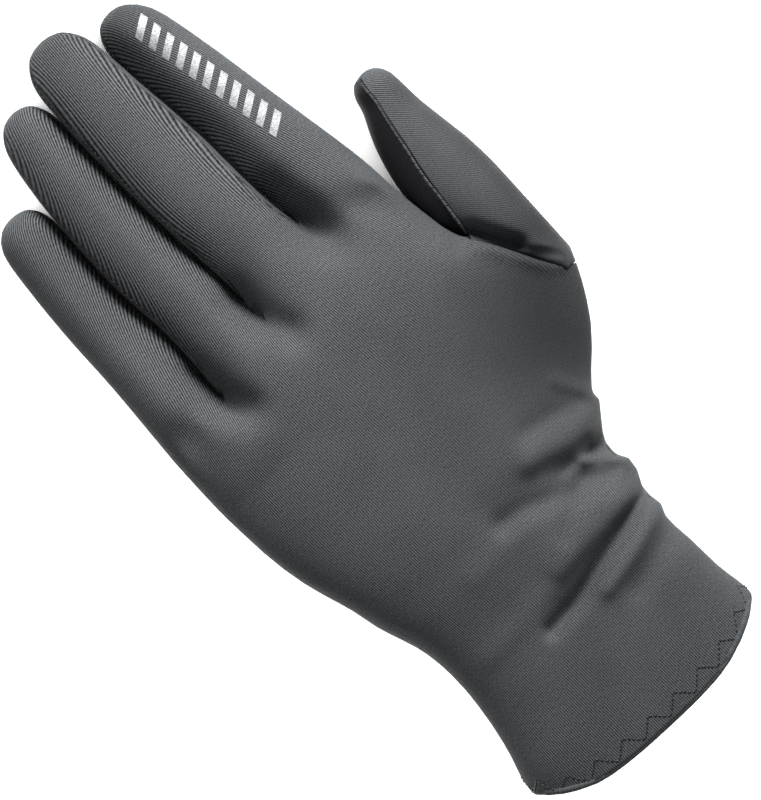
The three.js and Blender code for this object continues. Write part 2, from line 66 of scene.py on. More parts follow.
# Places on the glove are in mm from the middle of the cuff's edge, as on its flat pattern
CUFF_MIDDLE = np.array([-13.57, -122.56])

# Edges of the fingers, from the little finger's outer edge to the index's, at places along
FINGER_ROWS = [150, 166, 181, 197, 213, 228, 246]
FINGER_EDGES = [
    [-44.5, -44.0, -44.1, -43.4, -42.0, -40.4, -38.0],
    [-23.7, -23.4, -25.5, -25.6, -25.3, -23.7, -21.5],
    [-1.1, -2.8, -4.4, -5.6, -6.3, -6.6, -6.3],
    [25.1, 21.4, 19.5, 18.8, 17.0, 15.1, 13.6],
    [48.1, 46.4, 43.5, 40.3, 37.1, 33.8, 28.5],
]
# Room outside the first and the last edge, so that all the cloth there belongs to a finger
OUTER_ROOM = (10, 2)
CROTCHES = [134, 141, 151, 161, 160]
FINGER_TIPS = [216, 237, 246, 240]
# How far each finger rises, the length over which it does, and the share it loses at its tip
FINGER_LIFTS = [0.0, 1.0, 2.4, 0.3]
LIFT_RUN = 26
LIFT_LOSS = 0.6
# Each finger's two sides: 1 lies over the neighbour, -1 is tucked under it, 0 is free
FINGER_SIDES = [(0, -1), (1, -1), (1, 1), (-1, 0)]
SIDE_SPREAD = 0.5
TUCK_SPREAD = 0.6
TUCK_DEPTH = 4.4
# A side moves from this share of the half breadth outwards. It starts below the crotch, is in
# full after its run, and loses a share of its move at the tip.
SIDE_START = 0.1
SIDE_BELOW_CROTCH = 7
SIDE_RUN = 15
SIDE_TIP_RUN = 16
SIDE_TIP_LOSS = 0.5
# The palm stays flat: folds and slopes start at its height and are in full after their rise
PALM_HEIGHT = 5
FOLD_RISE = 9
SLOPE_RISE = 14
TUCK_RISE = 8

# Folds of the back: the line they follow, half their breadth, how far they rise above it or
# sink below, and how far the crest leans over towards the cuff
FOLDS = [
    ([(22, 174), (24, 166), (26, 157)], 4.8, -4.6, 0.0),
    ([(-3.5, 160), (-2, 152), (1.5, 144)], 4.4, -3.8, 0.0),
    ([(-25, 152), (-23.5, 143), (-20, 136)], 4.2, -3.2, 0.0),
    ([(44.5, 87), (47, 83), (50, 77.5)], 1.5, 1.3, 0.3),
    ([(30, 82), (38, 80.5), (46, 78)], 2.6, -1.0, 0.0),
    ([(25, 75.5), (34, 73), (42, 71)], 3.4, 1.3, 0.4),
    ([(40.5, 67.5), (44, 66), (48, 64)], 2.4, -3.8, 0.0),
    ([(36.5, 66), (40, 64), (44, 60)], 1.5, 1.6, 0.3),
    ([(9, 68), (16, 67), (24, 64), (31, 60.5), (37, 57), (43, 53.5)], 3.0, -1.8, 0.0),
    ([(33, 62.5), (38, 59.5), (44, 56.5)], 2.4, -2.2, 0.0),
    ([(29, 60), (24, 58), (19, 54.5)], 2.4, -0.7, 0.0),
    ([(12, 49.5), (24, 50.5), (34, 51), (44, 51)], 3.6, 1.5, 0.8),
    ([(0, 38.5), (10, 39.5), (20, 42.5), (30, 45.5), (40, 48.5), (48, 49.5)], 2.2, -3.0, 0.0),
    ([(18, 37), (30, 39.5), (42, 43)], 2.6, 1.3, 0.4),
    ([(24, 31), (34, 33.5), (46, 38)], 3.4, -1.0, 0.0),
    ([(-18, 44), (-6, 45), (6, 47)], 3.2, 0.5, 0.3),
    ([(-6, 62), (10, 63), (24, 62)], 3.6, 0.4, 0.2),
    ([(53, 130), (58, 121.5), (62.5, 113.5), (66.5, 109)], 2.0, 1.6, -0.8),
    ([(55, 130.5), (59, 124.5), (61.5, 120.5)], 2.4, -4.6, 0.0),
]
# The ball of the thumb slopes down to the wrist
BALL_OF_THUMB = (56, 92)
BALL_REACH = (17, 26)
BALL_DROP = 3.6


def smooth_step(share):
    share = np.clip(share, 0, 1)
    return share * share * (3 - 2 * share)


def lay_relaxed(points):
    """Moves places on the flat CAD glove, in mm, to where the relaxed glove has them."""
    x, y, z = points.T.copy()
    moved = points.copy()
    edges = [np.interp(y, FINGER_ROWS, edge) for edge in FINGER_EDGES]
    edges[0] -= OUTER_ROOM[0]
    edges[-1] += OUTER_ROOM[1]
    for i, (tip, lift, sides) in enumerate(zip(FINGER_TIPS, FINGER_LIFTS, FINGER_SIDES)):
        inside = (x > edges[i]) & (x <= edges[i + 1])
        middle = (edges[i] + edges[i + 1]) / 2
        half = (edges[i + 1] - edges[i]) / 2
        aside = np.clip((x - middle) / half, -1, 1)
        root = max(CROTCHES[i], CROTCHES[i + 1])
        carried = smooth_step((y - root) / LIFT_RUN)
        carried = carried * (1 - LIFT_LOSS * smooth_step((y - tip + LIFT_RUN) / LIFT_RUN))
        moved[:, 2] += np.where(inside, lift * carried, 0)
        near_tip = smooth_step((y - tip + SIDE_TIP_RUN) / SIDE_TIP_RUN)
        for way, side, crotch in ((-1, sides[0], CROTCHES[i]), (1, sides[1], CROTCHES[i + 1])):
            full = smooth_step((y - crotch + SIDE_BELOW_CROTCH) / SIDE_RUN)
            full = full * (1 - SIDE_TIP_LOSS * near_tip)
            outwards = smooth_step((aside * way - SIDE_START) / (1 - SIDE_START))
            share = np.where(inside, outwards * full, 0)
            if side > 0:
                moved[:, 0] += way * SIDE_SPREAD * share
            if side < 0:
                moved[:, 0] += way * TUCK_SPREAD * share
                moved[:, 2] -= TUCK_DEPTH * share * smooth_step(z / TUCK_RISE)
    on_back = smooth_step((z - PALM_HEIGHT) / FOLD_RISE)
    for line, breadth, rise, lean in FOLDS:
        nearest = np.full(len(x), np.inf)
        across = np.zeros((len(x), 2))
        for start, end in zip(line, line[1:]):
            run = np.subtract(end, start)
            along = np.clip(((x - start[0]) * run[0] + (y - start[1]) * run[1]) / (run @ run), 0, 1)
            away = np.hypot(x - start[0] - along * run[0], y - start[1] - along * run[1])
            closer = away < nearest
            nearest = np.where(closer, away, nearest)
            down = np.array([run[1], -run[0]]) / np.hypot(*run)
            across[closer] = down
        share = np.exp(-(nearest / breadth) ** 2) * on_back
        moved[:, 2] += rise * share
        moved[:, :2] += lean * share[:, None] * across
    off_ball = (((x - BALL_OF_THUMB[0]) / BALL_REACH[0]) ** 2
                + ((y - BALL_OF_THUMB[1]) / BALL_REACH[1]) ** 2)
    slope = smooth_step((z - PALM_HEIGHT) / SLOPE_RISE)
    moved[:, 2] -= BALL_DROP * np.exp(-off_ball) * slope
    return moved


# Lean of the ribs from the middle finger's line towards the thumb, at places on the glove
RIB_LEANS = [
    (14, 12, -4), (14, 62, -5), (14, 102, -2), (-16, 102, 2), (49, 102, -6), (14, 132, -4),
    (-34, 152, 18), (-33, 182, 22), (-11, 162, 14), (-15, 212, 22), (9, 167, -12), (6, 212, 4),
    (36, 172, -24), (28, 212, -30), (62, 132, -52), (62, 162, -52),
]
# A place follows the leans near it most: their weight falls off with the distance from them
LEAN_NEAREST = 2
LEAN_FALL = 4


def rib_direction(places):
    leans = np.array(RIB_LEANS, float)
    away = np.linalg.norm(places[:, None, :] - leans[None, :, :2], axis=2)
    weights = 1 / (away + LEAN_NEAREST) ** LEAN_FALL
    angle = np.radians((weights * leans[:, 2]).sum(axis=1) / weights.sum(axis=1))
    return np.stack([np.sin(angle), np.cos(angle), np.zeros(len(places))], axis=1)


def lay_cloth(mesh):
    """Gives the panel its flat cloth: a UV map in metres, along the ribs and across them."""
    count = len(mesh.vertices)
    points = np.array([v.co for v in mesh.vertices])
    normals = np.array([v.normal for v in mesh.vertices])
    normals *= np.where(normals[:, 2:] < 0, -1, 1)
    ribs = rib_direction(points[:, :2] / MM - CUFF_MIDDLE)
    ribs -= normals * (ribs * normals).sum(axis=1, keepdims=True)
    ribs /= np.maximum(np.linalg.norm(ribs, axis=1, keepdims=True), 1e-6)
    across = np.cross(ribs, normals)
    edges = np.array([e.vertices for e in mesh.edges])
    run = points[edges[:, 1]] - points[edges[:, 0]]
    laplace = np.zeros((count, count))
    np.add.at(laplace, (edges[:, 0], edges[:, 0]), 1)
    np.add.at(laplace, (edges[:, 1], edges[:, 1]), 1)
    np.add.at(laplace, (edges[:, 0], edges[:, 1]), -1)
    np.add.at(laplace, (edges[:, 1], edges[:, 0]), -1)
    laplace[0, 0] += 1
    sides = np.zeros((count, 2))
    for column, field in enumerate((across, ribs)):
        change = (run * (field[edges[:, 0]] + field[edges[:, 1]]) / 2).sum(axis=1)
        np.add.at(sides[:, column], edges[:, 1], change)
        np.add.at(sides[:, column], edges[:, 0], -change)
    places = np.linalg.solve(laplace, sides)
    cloth = mesh.uv_layers.new(name="cloth") if not mesh.uv_layers else mesh.uv_layers[0]
    cloth.name = "cloth"
    corners = np.array([loop.vertex_index for loop in mesh.loops])
    cloth.data.foreach_set("uv", places[corners].ravel())


# Where the ribs show less, because the knit is pulled tight over the thumb's side and the cuff:
# the middle of each patch, its reach and its strength
RIB_FADES = [
    ((52, 100), 30, 0.65), ((0, 100), 45, 0.4), ((10, 30), 45, 0.42), ((34, 66), 16, 0.2),
    ((44, 160), 9, 0.4), ((62, 150), 22, 0.5),
]
# Painted shade: patches where the knit's colour is darkened to stand in for shade, on the slope
# below the thumb, along the thumb's outer edge, at the tips of the fingers and in a few soft
# patches on the cuff
PAINTED_SHADE_PATCHES = [
    ((54, 92), 19, 0.5), ((42, 108), 26, 0.38), ((62, 112), 12, 0.3), ((0, 8), 30, 0.15),
    ((5, 52), 35, 0.15), ((-34, 190), 28, 0.16), ((25, 238), 9, 0.4), ((5, 244), 8, 0.25),
    ((70, 172), 6, 0.5), ((73, 161), 7, 0.6), ((74, 148), 7, 0.6), ((74, 135), 7, 0.6),
    ((74, 122), 8, 0.6), ((34, 22), 15, 0.3),
]


def patch_values(places, patches):
    value = np.ones(len(places))
    for centre, reach, strength in patches:
        away = np.linalg.norm(places - centre, axis=1) / reach
        value -= strength * np.exp(-away ** 2)
    return np.clip(value, 0, 1)


def only(thing):
    bpy.ops.object.select_all(action="DESELECT")
    thing.select_set(True)
    bpy.context.view_layer.objects.active = thing


# Edges that turn more than this are where the cloth is cut or folded, and stay half crisp
CUT_EDGE_TURN = 50
CUT_EDGE_CREASE = 0.55


def knit_panel(node_name, smoothing):
    """A CAD panel's own mesh, smoothed, given its cloth map and laid relaxed."""
    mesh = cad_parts[node_name].data.copy()
    mesh.materials.clear()
    panel = bpy.data.objects.new(node_name + "_knit", mesh)
    bpy.context.collection.objects.link(panel)
    only(panel)
    bpy.ops.mesh.customdata_custom_splitnormals_clear()
    bpy.ops.object.mode_set(mode="EDIT")
    bpy.ops.mesh.select_all(action="SELECT")
    bpy.ops.mesh.remove_doubles(threshold=1e-6)
    bpy.ops.mesh.tris_convert_to_quads(
        face_threshold=math.pi, shape_threshold=math.pi, topology_influence=1)
    bpy.ops.mesh.select_all(action="DESELECT")
    bpy.ops.mesh.edges_select_sharp(sharpness=math.radians(CUT_EDGE_TURN))
    bpy.ops.transform.edge_crease(value=CUT_EDGE_CREASE)
    bpy.ops.object.mode_set(mode="OBJECT")
    lay_cloth(mesh)
    smooth = panel.modifiers.new("smooth", "SUBSURF")
    smooth.levels = smooth.render_levels = smoothing
    smooth.use_limit_surface = True
    bpy.ops.object.modifier_apply(modifier="smooth")
    points = np.array([v.co for v in mesh.vertices]) / MM
    points[:, :2] -= CUFF_MIDDLE
    # rib show fades the ribs; the second attribute is painted shade, lower where the patches darken
    # the colour
    for name, patches in (("rib show", RIB_FADES), ("painted_shade_lightness", PAINTED_SHADE_PATCHES)):
        layer = mesh.attributes.new(name, "FLOAT", "POINT")
        layer.data.foreach_set("value", patch_values(points[:, :2], patches))
    moved = lay_relaxed(points)
    moved[:, :2] += CUFF_MIDDLE
    mesh.vertices.foreach_set("co", (moved * MM).ravel())
    mesh.update()
    bpy.ops.object.shade_smooth()
    return panel


def linear(hex_colour):
    channels = [int(hex_colour[i:i + 2], 16) / 255 for i in (1, 3, 5)]
    return [c / 12.92 if c <= 0.04045 else ((c + 0.055) / 1.055) ** 2.4 for c in channels] + [1]


def add_node(material, kind, inputs=None, **settings):
    node = material.node_tree.nodes.new(kind)
    for name, value in settings.items():
        setattr(node, name, value)
    for socket, value in (inputs or {}).items():
        if isinstance(value, bpy.types.NodeSocket):
            material.node_tree.links.new(value, node.inputs[socket])
        else:
            node.inputs[socket].default_value = value
    return node


def new_material(name):
    material = bpy.data.materials.new(name)
    material.use_nodes = True
    return material, material.node_tree.nodes["Principled BSDF"]


# Circular elastane jersey: fine filaments, so close that no ribs show, only a soft grain
smooth_knit, shader = new_material("smooth elastane jersey")
cloth = add_node(smooth_knit, "ShaderNodeUVMap", uv_map="cloth")
JERSEY_LOOP = 0.5
grain = add_node(smooth_knit, "ShaderNodeTexNoise",
                 {"Vector": cloth.outputs[0], "Scale": 1 / (JERSEY_LOOP * MM), "Detail": 2.0})
level = add_node(smooth_knit, "ShaderNodeMapRange", {0: grain.outputs[0], 1: 0.3, 2: 0.7})
colour = add_node(smooth_knit, "ShaderNodeMix", {
    0: level.outputs[0], 6: linear("#0d0d11"), 7: linear("#1e1e24")}, data_type="RGBA")
relief = add_node(smooth_knit, "ShaderNodeBump", {
    "Height": grain.outputs[0], "Distance": 0.03 * MM, "Strength": 1.0})
smooth_knit.node_tree.links.new(colour.outputs[2], shader.inputs["Base Color"])
smooth_knit.node_tree.links.new(relief.outputs[0], shader.inputs["Normal"])
shader.inputs["Roughness"].default_value = 0.62
shader.inputs["Specular IOR Level"].default_value = 0.3
shader.inputs["Sheen Weight"].default_value = 0.05

palm = knit_panel("hand_palm_panel", 2)
palm.data.materials.append(smooth_knit)
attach(palm, "root")
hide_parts("hand_palm_panel")

# Fourchettes. Three narrow strips of the ribbed knit, each sewn down the two facing sides of
# neighbouring fingers and round the crotch between them.

# Ribbed polyester knit: round threads side by side 0.6 mm apart, with a painted highlight along
# their tops and painted shade between them, and a broken grain of painted glints where single
# filaments catch the light
RIB_SPACING = 0.6
GRAIN_ACROSS = 0.36
GRAIN_ALONG = 0.8
CLOUD_SIZE = 18
ribbed_knit, shader = new_material("ribbed polyester knit")
cloth = add_node(ribbed_knit, "ShaderNodeUVMap", uv_map="cloth")
place = add_node(ribbed_knit, "ShaderNodeSeparateXYZ", {0: cloth.outputs[0]})
angle = add_node(ribbed_knit, "ShaderNodeMath", {
    0: place.outputs[0], 1: 2 * math.pi / (RIB_SPACING * MM)}, operation="MULTIPLY")
wave = add_node(ribbed_knit, "ShaderNodeMath", {0: angle.outputs[0]}, operation="SINE")
rib = add_node(ribbed_knit, "ShaderNodeMapRange", {0: wave.outputs[0], 1: -1.0, 2: 1.0})
scaled = add_node(ribbed_knit, "ShaderNodeMapping", {
    0: cloth.outputs[0], 3: (1 / (GRAIN_ACROSS * MM), 1 / (GRAIN_ALONG * MM), 1)})
grain = add_node(ribbed_knit, "ShaderNodeTexNoise", {
    "Vector": scaled.outputs[0], "Scale": 1.0, "Detail": 2.0, "Roughness": 0.6})
cloud = add_node(ribbed_knit, "ShaderNodeTexNoise", {
    "Vector": cloth.outputs[0], "Scale": 1 / (CLOUD_SIZE * MM), "Detail": 3.0})
shown = add_node(ribbed_knit, "ShaderNodeAttribute", attribute_name="rib show")
painted_shade_lightness = add_node(ribbed_knit, "ShaderNodeAttribute", attribute_name="painted_shade_lightness")
grain_share = add_node(ribbed_knit, "ShaderNodeMapRange", {0: shown.outputs["Fac"], 3: 0.4, 4: 1.0})
soft_grain = add_node(ribbed_knit, "ShaderNodeMix", {
    0: grain_share.outputs[0], 2: 0.5, 3: grain.outputs[0]}, data_type="FLOAT")
centred = add_node(ribbed_knit, "ShaderNodeMath", {0: rib.outputs[0], 1: 0.5}, operation="SUBTRACT")
ribs = add_node(ribbed_knit, "ShaderNodeMath", {
    0: centred.outputs[0], 1: shown.outputs["Fac"]}, operation="MULTIPLY")
speckled = add_node(ribbed_knit, "ShaderNodeMath", {
    0: soft_grain.outputs[0], 1: 1.3, 2: ribs.outputs[0]}, operation="MULTIPLY_ADD")
clouded = add_node(ribbed_knit, "ShaderNodeMath", {
    0: cloud.outputs[0], 1: 0.25, 2: speckled.outputs[0]}, operation="MULTIPLY_ADD")
level = add_node(ribbed_knit, "ShaderNodeMapRange", {0: clouded.outputs[0], 1: 0.3, 2: 1.35})
# The rib stripes and the grain in this colour are painted highlight on the thread tops, painted
# shade between them and painted glints
knit_colour = add_node(ribbed_knit, "ShaderNodeMix", {
    0: level.outputs[0], 6: linear("#141517"), 7: linear("#7b7f82")}, data_type="RGBA")
# Painted shade: the knit's colour is mixed towards near black where the patches' attribute falls
# below one
painted_shade_colour = add_node(ribbed_knit, "ShaderNodeMix", {
    0: painted_shade_lightness.outputs["Fac"], 6: linear("#18191b"), 7: knit_colour.outputs[2]}, data_type="RGBA")
height = add_node(ribbed_knit, "ShaderNodeMath", {
    0: soft_grain.outputs[0], 1: 0.6, 2: ribs.outputs[0]}, operation="MULTIPLY_ADD")
relief = add_node(ribbed_knit, "ShaderNodeBump", {
    "Height": height.outputs[0], "Distance": 0.07 * MM, "Strength": 1.0})
ribbed_knit.node_tree.links.new(painted_shade_colour.outputs[2], shader.inputs["Base Color"])
ribbed_knit.node_tree.links.new(relief.outputs[0], shader.inputs["Normal"])
shader.inputs["Roughness"].default_value = 0.75
shader.inputs["Specular IOR Level"].default_value = 0.2
shader.inputs["Sheen Weight"].default_value = 0.06
shader.inputs["Sheen Roughness"].default_value = 0.5

fourchettes = []
for node_name in ("fourchette_little_ring", "fourchette_ring_middle", "fourchette_middle_index"):
    fourchette = knit_panel(node_name, 2)
    fourchette.data.materials.append(ribbed_knit)
    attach(fourchette, "root")
    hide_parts(node_name)
    fourchettes.append(fourchette)

# Back panel. The back of the hand and of the four fingers is one piece of the ribbed knit,
# which wraps down over the fingers' sides to the fourchettes.
back = knit_panel("hand_back_panel", 2)
back.data.materials.append(ribbed_knit)
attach(back, "root")
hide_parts("hand_back_panel")

# Thumb. A grey ribbed outer half and a smooth dark inner half are sewn together, and the
# finished thumb is set into the side of the hand.
thumb_inner = knit_panel("thumb_inner_panel", 3)
# The seam between the halves runs up from this place at the thumb's root, a little outwards
SEAM_ROOT = (54.4, 132.5)
SEAM_SLOPE = 0.14


def thumb_seam_near(y):
    return SEAM_ROOT[0] + SEAM_SLOPE * (y - SEAM_ROOT[1])


# The thumb leans on the side of the hand, so its inner half closes the slit above its root
LEAN_MIDDLE = 136
LEAN_REACH = 18
LEAN_EDGE = 3
LEAN = 2.4
places = np.array([v.co for v in thumb_inner.data.vertices]) / MM
x, y = (places[:, :2] - CUFF_MIDDLE).T
leaning = np.exp(-((y - LEAN_MIDDLE) / LEAN_REACH) ** 2)
leaning = leaning * smooth_step((thumb_seam_near(y) - x) / LEAN_EDGE)
places[:, 0] -= LEAN * leaning
thumb_inner.data.vertices.foreach_set("co", (places * MM).ravel())
thumb_inner.data.materials.append(smooth_knit)
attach(thumb_inner, "root")
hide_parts("thumb_inner_panel")

thumb_back = knit_panel("thumb_back_panel", 3)
# Its knit is less stretched than the hand's, so the ribs lie closer
THUMB_RIBS_CLOSER = 1.35
for corner in thumb_back.data.uv_layers["cloth"].data:
    corner.uv *= THUMB_RIBS_CLOSER
thumb_back.data.materials.append(ribbed_knit)
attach(thumb_back, "root")
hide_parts("thumb_back_panel")

# The seam's allowance, the ribbed knit folded back on itself, stands up as a thin lip along the
# dark half, and polyester thread crosses it every two millimetres.


def surface_of(*panels):
    points, faces = [], []
    for panel in panels:
        first = len(points)
        points += [v.co.copy() for v in panel.data.vertices]
        faces += [[first + k for k in face.vertices] for face in panel.data.polygons]
    return BVHTree.FromPolygons(points, faces)


LOOK_HEIGHT = 60


def seen_from_above(surface, x, y):
    place = Vector(((x + CUFF_MIDDLE[0]) * MM, (y + CUFF_MIDDLE[1]) * MM, LOOK_HEIGHT * MM))
    return surface.ray_cast(place, Vector((0, 0, -1)))


# A look that slips between two panels falls at least this far, on to the glove's underside
UNDERSIDE_DROP = 6
SEAM_HALVINGS = 16


def seam_between(inside, outside, y, x_inside, x_outside):
    """The place at y where one panel gives way to the other, as seen from above."""
    kept = seen_from_above(inside, x_inside, y)[:2]
    if kept[0] is None:
        return kept
    for _ in range(SEAM_HALVINGS):
        x = (x_inside + x_outside) / 2
        spot, normal = seen_from_above(inside, x, y)[:2]
        other = seen_from_above(outside, x, y)[0]
        on_top = spot and spot.z > kept[0].z - UNDERSIDE_DROP * MM
        if on_top and (other is None or spot.z >= other.z):
            x_inside, kept = x, (spot, normal)
        else:
            x_outside = x
    return kept


# Rolled up thin, the knit shows little of its ribs
ROLL_RIB_SHOW = 0.4


def piping(name, path, radius, closed=False):
    """A thin roll of cloth along a path, with its cloth map running along it and round it."""
    curve = bpy.data.curves.new(name, "CURVE")
    curve.dimensions = "3D"
    spline = curve.splines.new("POLY")
    spline.points.add(len(path) - 1)
    for point, place in zip(spline.points, path):
        point.co = (*place, 1)
    spline.use_cyclic_u = closed
    curve.bevel_depth = radius * MM
    curve.bevel_resolution = 2
    curve.use_fill_caps = not closed
    roll = bpy.data.objects.new(name, curve)
    bpy.context.collection.objects.link(roll)
    only(roll)
    bpy.ops.object.convert(target="MESH")
    bpy.ops.object.shade_smooth()
    roll = bpy.context.object
    mesh = roll.data
    places = np.array([v.co for v in mesh.vertices])
    line = np.array([tuple(p) for p in path])
    nearest = np.linalg.norm(places[:, None] - line[None], axis=2).argmin(axis=1)
    runs = np.concatenate([[0], np.cumsum(np.linalg.norm(np.diff(line, axis=0), axis=1))])
    flat = np.stack([runs[nearest], places[:, 2]], axis=1)
    cloth = mesh.uv_layers.new(name="cloth") if not mesh.uv_layers else mesh.uv_layers[0]
    cloth.name = "cloth"
    corners = np.array([loop.vertex_index for loop in mesh.loops])
    cloth.data.foreach_set("uv", flat[corners].ravel())
    # The rolls get no painted shade
    for layer_name, value in (("rib show", ROLL_RIB_SHOW), ("painted_shade_lightness", 1)):
        layer = mesh.attributes.new(layer_name, "FLOAT", "POINT")
        layer.data.foreach_set("value", np.full(len(places), value))
    return roll


def stitched(name, places, length, thickness):
    """Copies of one stitch of thread, each at a place, along a direction and facing up."""
    bpy.ops.object.select_all(action="DESELECT")
    bpy.ops.mesh.primitive_uv_sphere_add(segments=8, ring_count=6, radius=0.5 * MM)
    one = bpy.context.object
    bpy.ops.object.mode_set(mode="EDIT")
    bpy.ops.transform.resize(value=(thickness, thickness, length))
    bpy.ops.object.mode_set(mode="OBJECT")
    shape = np.array([v.co for v in one.data.vertices])
    faces = [list(face.vertices) for face in one.data.polygons]
    points, all_faces = [], []
    for spot, along, up in places:
        along = along.normalized()
        side = up.cross(along).normalized()
        turned = np.array([side, along.cross(side), along])
        first = len(points) * len(shape)
        points.append(shape @ turned + np.array(spot))
        all_faces += [[first + k for k in face] for face in faces]
    bpy.data.objects.remove(one)
    mesh = bpy.data.meshes.new(name)
    mesh.from_pydata(np.concatenate(points).tolist(), [], all_faces)
    mesh.update()
    seam = bpy.data.objects.new(name, mesh)
    bpy.context.collection.objects.link(seam)
    only(seam)
    bpy.ops.object.shade_smooth()
    return seam


# Twisted polyester thread: dark, slightly glossy, so each stitch catches a small light
THREAD_TWIST = 0.25
thread, shader = new_material("twisted polyester thread")
place = add_node(thread, "ShaderNodeTexCoord")
ply = add_node(thread, "ShaderNodeTexNoise", {
    "Vector": place.outputs["Object"], "Scale": 1 / (THREAD_TWIST * MM), "Detail": 1.0})
colour = add_node(thread, "ShaderNodeMix", {
    0: ply.outputs[0], 6: linear("#0b0b0d"), 7: linear("#2b2b2f")}, data_type="RGBA")
relief = add_node(thread, "ShaderNodeBump", {
    "Height": ply.outputs[0], "Distance": 0.05 * MM, "Strength": 1.0})
thread.node_tree.links.new(colour.outputs[2], shader.inputs["Base Color"])
thread.node_tree.links.new(relief.outputs[0], shader.inputs["Normal"])
shader.inputs["Roughness"].default_value = 0.36
shader.inputs["Specular IOR Level"].default_value = 0.6

inner_surface = surface_of(thumb_inner)
outer_surface = surface_of(thumb_back)
LIP_FROM = 180
LIP_TO = 130
LIP_RADIUS = 0.42
LIP_OFFSET = Vector((-0.5, 0, 0.6)) * MM
SEAM_LOOK = (-2, 5)
THUMB_STITCH = 2.0
lip_path = []
for y in np.arange(LIP_FROM, LIP_TO, -THUMB_STITCH / 2):
    near = thumb_seam_near(y)
    spot = seam_between(
        inner_surface, outer_surface, y, near + SEAM_LOOK[0], near + SEAM_LOOK[1])[0]
    if spot:
        lip_path.append(spot + LIP_OFFSET)
# Each stitch lies over the top of the lip, tilted as the lip is and a little slanted along it
CROSSING_SIZE = (1.3, 0.26)
CROSSING_LIFT = 0.36
CROSSING_SLANT = 0.35
LIP_TOP = Vector((-0.2, 0, 1)).normalized()
crossings = []
for i in range(1, len(lip_path) - 1, 2):
    run = (lip_path[i + 1] - lip_path[i - 1]).normalized()
    across = LIP_TOP.cross(run) + run * CROSSING_SLANT
    crossings.append((lip_path[i] + LIP_TOP * CROSSING_LIFT * MM, across, LIP_TOP))
thumb_lip = piping("thumb_seam_lip", lip_path, LIP_RADIUS)
thumb_lip.data.materials.append(ribbed_knit)
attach(thumb_lip, "root")
thumb_stitches = stitched("thumb_seam_stitches", crossings, *CROSSING_SIZE)
thumb_stitches.data.materials.append(thread)
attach(thumb_stitches, "root")

# Finger seams. Where a finger lies over its neighbour, the stitches that hold its fourchette
# show along its edge, a row of short dark ones.
FINGER_STITCH = 1.7
FINGER_STITCH_SIZE = (1.1, 0.24)
FINGER_STITCH_LIFT = 0.05
# Across the middle and the ring finger, from inside its seam to outside it, and along it
FINGER_SEAMS = ((4, -8, 178, 240), (-14, -27, 168, 230))
back_surface = surface_of(back)
fourchette_surface = surface_of(*fourchettes)
seam_stitches = []
for x_inside, x_outside, y_from, y_to in FINGER_SEAMS:
    row = [seam_between(back_surface, fourchette_surface, y, x_inside, x_outside)
           for y in np.arange(y_from, y_to, FINGER_STITCH)]
    for (before, _), (spot, up), (after, _) in zip(row, row[1:], row[2:]):
        seam_stitches.append((spot + up * FINGER_STITCH_LIFT * MM, after - before, up))
finger_stitches = stitched("finger_seam_stitches", seam_stitches, *FINGER_STITCH_SIZE)
finger_stitches.data.materials.append(thread)
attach(finger_stitches, "root")

# Cuff hem. The edge of the cuff is turned in once, so a band of the ribbed knit lies inside it.
hem = knit_panel("cuff_hem", 2)
hem.data.materials.append(ribbed_knit)
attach(hem, "root")
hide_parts("cuff_hem")

# The fold itself is a soft round roll that joins the wall of the cuff and the band inside it.
cuff_surface = surface_of(back, palm)
CUFF_CENTRE = (6.5, 14)
FOLD_RADIUS = 1.0
FOLD_INSIDE_EDGE = 0.3
LOOK_RADIUS = 80
PAST_SEAM = 0.014


def cuff_spot(angle, y):
    """A place on the outside of the cuff, looking in at an angle round it, at y from the edge.
    A look that slips through the side seam is turned a little."""
    centre = Vector((CUFF_CENTRE[0] + CUFF_MIDDLE[0], y + CUFF_MIDDLE[1], CUFF_CENTRE[1])) * MM
    for turn in (0, PAST_SEAM, -PAST_SEAM):
        outward = Vector((math.cos(angle + turn), 0, math.sin(angle + turn)))
        spot, up = cuff_surface.ray_cast(centre + outward * LOOK_RADIUS * MM, -outward)[:2]
        if spot is not None and (spot - centre).dot(outward) > 0:
            return spot, up
    return None


EDGE_BETWEEN = (-3.0, 18.0)
EDGE_HALVINGS = 14


def cuff_edge(angle):
    """How far along the cuff its cloth starts, at an angle round it."""
    low, high = EDGE_BETWEEN
    for _ in range(EDGE_HALVINGS):
        y = (low + high) / 2
        low, high = (low, y) if cuff_spot(angle, y) else (y, high)
    return high


ANGLES = np.linspace(0, 2 * math.pi, 181)
EDGES = np.array([cuff_edge(angle) for angle in ANGLES])
fold_path = []
for angle, edge in zip(ANGLES[:-1], EDGES):
    spot, up = cuff_spot(angle, edge + FOLD_INSIDE_EDGE)
    inward = Vector((up.x, 0, up.z)).normalized() * -FOLD_RADIUS * MM
    fold_path.append(spot + inward)
cuff_fold = piping("cuff_edge_fold", fold_path, FOLD_RADIUS, closed=True)
cuff_fold.data.materials.append(ribbed_knit)
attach(cuff_fold, "root")

# Zigzag seam. It holds the hem down and lets the cuff stretch: black thread in stitches of
# about a millimetre, up and down round the whole cuff.
ZIGZAG_LOW = 1.2
ZIGZAG_HIGH = 5.4
HALF_PERIOD = 4.65
LEG_STITCHES = 5
ZIGZAG_STITCH_SIZE = (0.95, 0.46)
ZIGZAG_LIFT = 0.08
# Under the cuff the thread is pressed into the knit, this far above the table
ABOVE_TABLE = 0.2
middles = np.array([cuff_spot(a, e + ZIGZAG_HIGH / 2)[0] for a, e in zip(ANGLES, EDGES)])
rounds = np.concatenate([[0], np.cumsum(np.linalg.norm(np.diff(middles, axis=0), axis=1))]) / MM
legs = 2 * round(rounds[-1] / HALF_PERIOD / 2)


